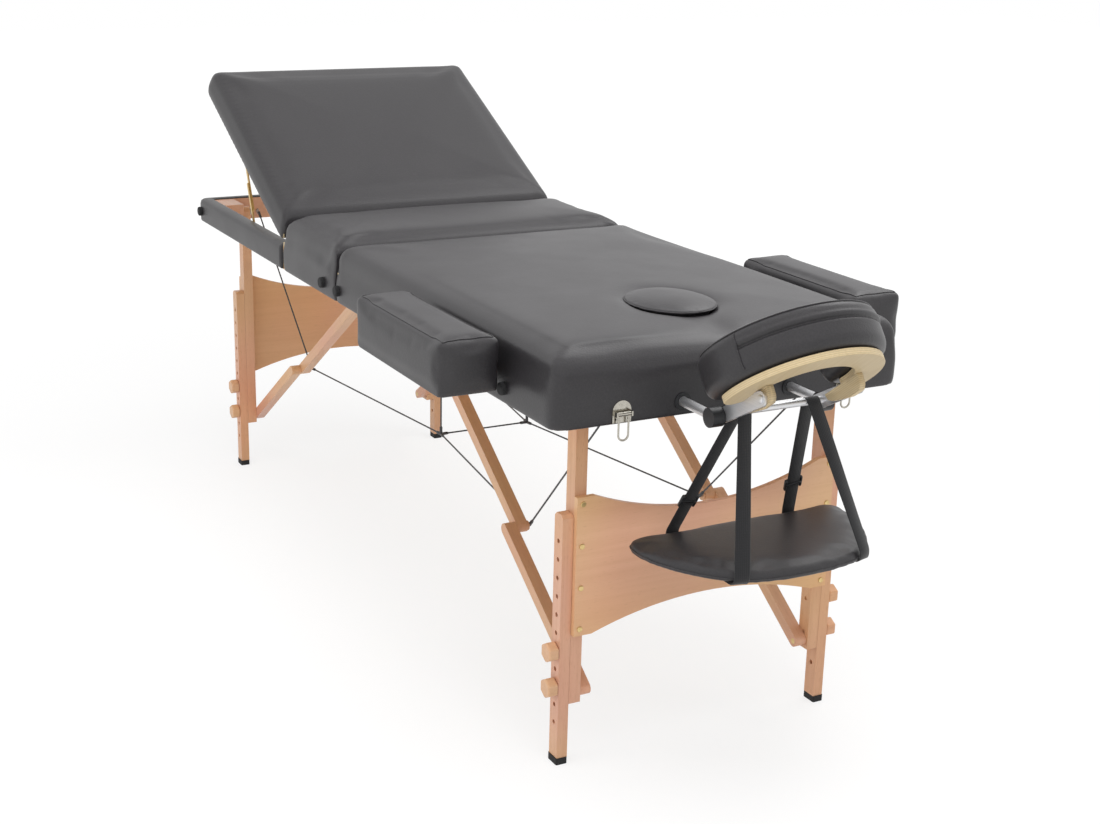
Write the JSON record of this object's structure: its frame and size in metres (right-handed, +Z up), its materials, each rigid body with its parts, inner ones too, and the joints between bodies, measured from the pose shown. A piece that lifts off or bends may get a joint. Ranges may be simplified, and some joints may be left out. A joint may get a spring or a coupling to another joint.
{
  "type": "folding massage table",
  "caption": "Folding massage table on braced wooden legs with a lifting backrest, plugged face hole, slide-in armrests, tilting face cradle and hanging arm shelf.",
  "frame": {"origin": "middle of the object's footprint box on the floor", "axes": "+X along the table to the head end, +Y to the far long side, +Z up"},
  "size_m": [2.1574, 0.911, 0.9967],
  "materials": {
    "vinyl": "satin",
    "beech": "satin",
    "plywood": "satin",
    "steel": "satin",
    "nickel": "polished",
    "aluminium": "satin",
    "brass": "satin",
    "rubber": "matte",
    "plastic": "matte",
    "webbing": "matte"
  },
  "bodies": {
    "head_section": {"head_rails": "beech", "head_deck": "plywood", "head_pad": "vinyl", "head_frame_blocks": "beech", "head_frame_bolts": "steel", "head_hinge_leaves": "steel", "latch_plates": "nickel", "head_bumpers": "rubber", "accessory_bushes": "plastic"},
    "face_plug": {"face_plug": "vinyl"},
    "fold_line": {"fold_pins": "steel", "leg_cables": "steel"},
    "foot_section": {"foot_rails": "beech", "seat_deck": "plywood", "seat_pad": "vinyl", "rail_cover": "vinyl", "foot_frame_blocks": "beech", "foot_frame_bolts": "steel", "foot_hinge_leaves": "steel", "strike_hooks": "steel", "foot_bumpers": "rubber"},
    "backrest": {"backrest_board": "plywood", "backrest_pad": "vinyl", "backrest_fittings": "steel"},
    "stay_upper": {"stay_upper_bars": "brass"},
    "stay_lower": {"stay_lower_bars": "brass"},
    "head_legs": {"head_upper_legs": "beech", "head_end_panel": "beech", "head_leg_screws": "brass"},
    "foot_legs": {"foot_upper_legs": "beech", "foot_end_panel": "beech", "foot_leg_screws": "brass"},
    "headrest": {"headrest_dowels": "aluminium", "headrest_hubs": "plastic"},
    "headrest_arm": {"headrest_plates": "aluminium"},
    "face_cradle": {"cradle_board": "plywood", "headrest_cushion": "vinyl"},
    "arm_shelf": {"shelf_pad": "vinyl", "shelf_straps": "webbing"},
    "near_armrest": {"near_armrest_pad": "vinyl", "near_armrest_dowels": "beech"},
    "far_armrest": {"far_armrest_pad": "vinyl", "far_armrest_dowels": "beech"},
    "latch_bails": {"latch_bails": "nickel"},
    "near_head_post": {"near_head_lower_leg": "beech", "near_head_rubber_foot": "rubber"},
    "far_head_post": {"far_head_lower_leg": "beech", "far_head_rubber_foot": "rubber"},
    "head_upper_knobs": {"head_upper_knobs": "beech"},
    "head_upper_links": {"head_upper_links": "beech"},
    "head_lower_knobs": {"head_lower_knobs": "beech"},
    "head_lower_links": {"head_lower_links": "beech"},
    "near_foot_post": {"near_foot_lower_leg": "beech", "near_foot_rubber_foot": "rubber"},
    "far_foot_post": {"far_foot_lower_leg": "beech", "far_foot_rubber_foot": "rubber"},
    "foot_upper_knobs": {"foot_upper_knobs": "beech"},
    "foot_upper_links": {"foot_upper_links": "beech"},
    "foot_lower_knobs": {"foot_lower_knobs": "beech"},
    "foot_lower_links": {"foot_lower_links": "beech"}
  },
  "joints": [
    {"name": "table_fold", "type": "hinge", "parent": "head_section", "child": "fold_line", "pos_m": [-0.1337, 0, 0.6235], "axis": [0, -1, 0], "range_deg": [0, 90], "deforming": ["leg_cables"]},
    {"name": "table_close", "type": "hinge", "parent": "fold_line", "child": "foot_section", "pos_m": [-0.1337, 0, 0.6235], "axis": [0, -1, 0], "range_deg": [0, 90], "deforming": ["leg_cables"]},
    {"name": "head_legs_fold", "type": "hinge", "parent": "head_section", "child": "head_legs", "pos_m": [0.7183, 0, 0.652], "axis": [0, 1, 0], "range_deg": [0, 90]},
    {"name": "head_upper_brace", "type": "hinge", "parent": "head_section", "child": "head_upper_links", "pos_m": [-0.0537, 0, 0.648], "axis": [0, -1, 0], "range_deg": [0, 35.4]},
    {"name": "head_lower_brace", "type": "hinge", "parent": "head_legs", "child": "head_lower_links", "pos_m": [0.7183, 0, 0.127], "axis": [0, 1, 0], "range_deg": [0, 54.5]},
    {"name": "near_head_height", "type": "slide", "parent": "head_legs", "child": "near_head_post", "axis": [0, 0, 1], "range_m": [-0.132, 0.066]},
    {"name": "far_head_height", "type": "slide", "parent": "head_legs", "child": "far_head_post", "axis": [0, 0, 1], "range_m": [-0.132, 0.066]},
    {"name": "head_lower_knob_turn", "type": "hinge", "parent": "head_legs", "child": "head_lower_knobs", "pos_m": [0.7183, 0, 0.142], "axis": [0, 1, 0], "continuous": true},
    {"name": "head_upper_knob_turn", "type": "hinge", "parent": "head_legs", "child": "head_upper_knobs", "pos_m": [0.7183, 0, 0.208], "axis": [0, 1, 0], "continuous": true},
    {"name": "foot_legs_fold", "type": "hinge", "parent": "foot_section", "child": "foot_legs", "pos_m": [-0.9857, 0, 0.652], "axis": [0, -1, 0], "range_deg": [0, 90]},
    {"name": "foot_upper_brace", "type": "hinge", "parent": "foot_section", "child": "foot_upper_links", "pos_m": [-0.2137, 0, 0.648], "axis": [0, 1, 0], "range_deg": [0, 35.4]},
    {"name": "foot_lower_brace", "type": "hinge", "parent": "foot_legs", "child": "foot_lower_links", "pos_m": [-0.9857, 0, 0.127], "axis": [0, -1, 0], "range_deg": [0, 54.5]},
    {"name": "near_foot_height", "type": "slide", "parent": "foot_legs", "child": "near_foot_post", "axis": [0, 0, 1], "range_m": [-0.132, 0.066]},
    {"name": "far_foot_height", "type": "slide", "parent": "foot_legs", "child": "far_foot_post", "axis": [0, 0, 1], "range_m": [-0.132, 0.066]},
    {"name": "foot_lower_knob_turn", "type": "hinge", "parent": "foot_legs", "child": "foot_lower_knobs", "pos_m": [-0.9857, 0, 0.142], "axis": [0, 1, 0], "continuous": true},
    {"name": "foot_upper_knob_turn", "type": "hinge", "parent": "foot_legs", "child": "foot_upper_knobs", "pos_m": [-0.9857, 0, 0.208], "axis": [0, 1, 0], "continuous": true},
    {"name": "backrest_lift", "type": "hinge", "parent": "foot_section", "child": "backrest", "pos_m": [-0.4657, 0, 0.68], "axis": [0, 1, 0], "range_deg": [-27, 10]},
    {"name": "stay_upper_turn", "type": "hinge", "parent": "backrest", "child": "stay_upper", "pos_m": [-0.80797, 0, 0.83868], "axis": [0, 1, 0], "range_deg": [-27, 10]},
    {"name": "stay_lower_turn", "type": "hinge", "parent": "foot_section", "child": "stay_lower", "pos_m": [-0.7187, 0, 0.64], "axis": [0, 1, 0], "range_deg": [-54, 20]},
    {"name": "face_plug_lift", "type": "slide", "parent": "head_section", "child": "face_plug", "axis": [0, 0, 1], "range_m": [0, 0.1]},
    {"name": "headrest_slide", "type": "slide", "parent": "head_section", "child": "headrest", "axis": [1, 0, 0], "range_m": [0, 0.09]},
    {"name": "headrest_arm_tilt", "type": "hinge", "parent": "headrest", "child": "headrest_arm", "pos_m": [0.8943, 0, 0.648], "axis": [0, 1, 0], "range_deg": [-15, 12]},
    {"name": "cradle_tilt", "type": "hinge", "parent": "headrest_arm", "child": "face_cradle", "pos_m": [0.9973, 0, 0.7045], "axis": [0, 1, 0], "range_deg": [0, 30]},
    {"name": "arm_shelf_swing", "type": "hinge", "parent": "headrest_arm", "child": "arm_shelf", "pos_m": [0.91271, 0, 0.6581], "axis": [0, -1, 0], "range_deg": [-12, 25]},
    {"name": "near_armrest_slide", "type": "slide", "parent": "head_section", "child": "near_armrest", "axis": [0, -1, 0], "range_m": [0, 0.03]},
    {"name": "far_armrest_slide", "type": "slide", "parent": "head_section", "child": "far_armrest", "axis": [0, 1, 0], "range_m": [0, 0.03]},
    {"name": "latch_bails_swing", "type": "hinge", "parent": "head_section", "child": "latch_bails", "pos_m": [0.8093, 0, 0.643], "axis": [0, -1, 0], "range_deg": [-4, 110]}
  ],
  "couplings": [
    {"joint": "head_legs_fold", "follows": "table_fold", "ratio": 1},
    {"joint": "head_upper_brace", "follows": "table_fold", "ratio": 0.39333},
    {"joint": "head_lower_brace", "follows": "table_fold", "ratio": 0.60555},
    {"joint": "foot_legs_fold", "follows": "table_fold", "ratio": 1},
    {"joint": "foot_upper_brace", "follows": "table_fold", "ratio": 0.39333},
    {"joint": "foot_lower_brace", "follows": "table_fold", "ratio": 0.60555},
    {"joint": "stay_upper_turn", "follows": "backrest_lift", "ratio": 0.95},
    {"joint": "stay_lower_turn", "follows": "backrest_lift", "ratio": 1.95}
  ]
}
